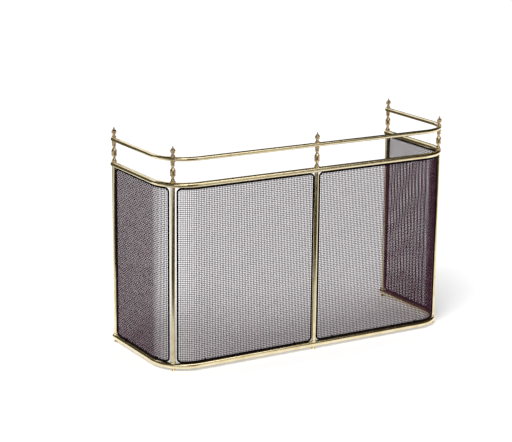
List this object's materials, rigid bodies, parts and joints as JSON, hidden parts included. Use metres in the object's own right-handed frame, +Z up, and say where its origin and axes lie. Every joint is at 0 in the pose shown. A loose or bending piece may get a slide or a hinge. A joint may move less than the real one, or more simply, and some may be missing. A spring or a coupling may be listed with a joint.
{
  "type": "nursery fire fender",
  "caption": "Tall brass-railed fire fender with a U plan, rounded front corners, black wire-mesh panels, a raised gallery rail and turned finials; open at the back.",
  "frame": {"origin": "middle of the fender's plan box, on the floor under the feet", "axes": "+X to the right seen from the room, +Y towards the wall (the open back), -Y to the room, +Z up"},
  "size_m": [1.099, 0.3998, 0.733],
  "materials": {
    "brass": "old polished brass, lightly tarnished",
    "black_iron": "satin black",
    "steel": "plain drawn steel, hidden"
  },
  "bodies": {
    "root": {"base_rail": "brass", "panel_rail": "brass", "gallery_rail": "brass", "base_plug_left": "brass", "base_plug_right": "brass", "panel_plug_left": "brass", "panel_plug_right": "brass", "gallery_plug_left": "brass", "gallery_plug_right": "brass", "foot_rear_left": "brass", "foot_front_left": "brass", "foot_front_centre": "brass", "foot_front_right": "brass", "foot_rear_right": "brass", "collar_rear_left": "brass", "collar_front_left": "brass", "collar_front_centre": "brass", "collar_front_right": "brass", "collar_rear_right": "brass", "upright_rear_left": "brass", "upright_front_left": "brass", "upright_front_centre": "brass", "upright_front_right": "brass", "upright_rear_right": "brass", "baluster_rear_left": "brass", "baluster_front_left": "brass", "baluster_front_centre": "brass", "baluster_front_right": "brass", "baluster_rear_right": "brass", "finial_rear_left": "brass", "finial_front_left": "brass", "finial_front_centre": "brass", "finial_front_right": "brass", "finial_rear_right": "brass", "tie_rod_rear_left": "steel", "tie_rod_front_left": "steel", "tie_rod_front_centre": "steel", "tie_rod_front_right": "steel", "tie_rod_rear_right": "steel", "frame_side_left": "black_iron", "frame_front_left": "black_iron", "frame_front_right": "black_iron", "frame_side_right": "black_iron", "mesh_side_left": "black_iron", "mesh_front_left": "black_iron", "mesh_front_right": "black_iron", "mesh_side_right": "black_iron", "panel_staples": "black_iron"}
  },
  "joints": []
}
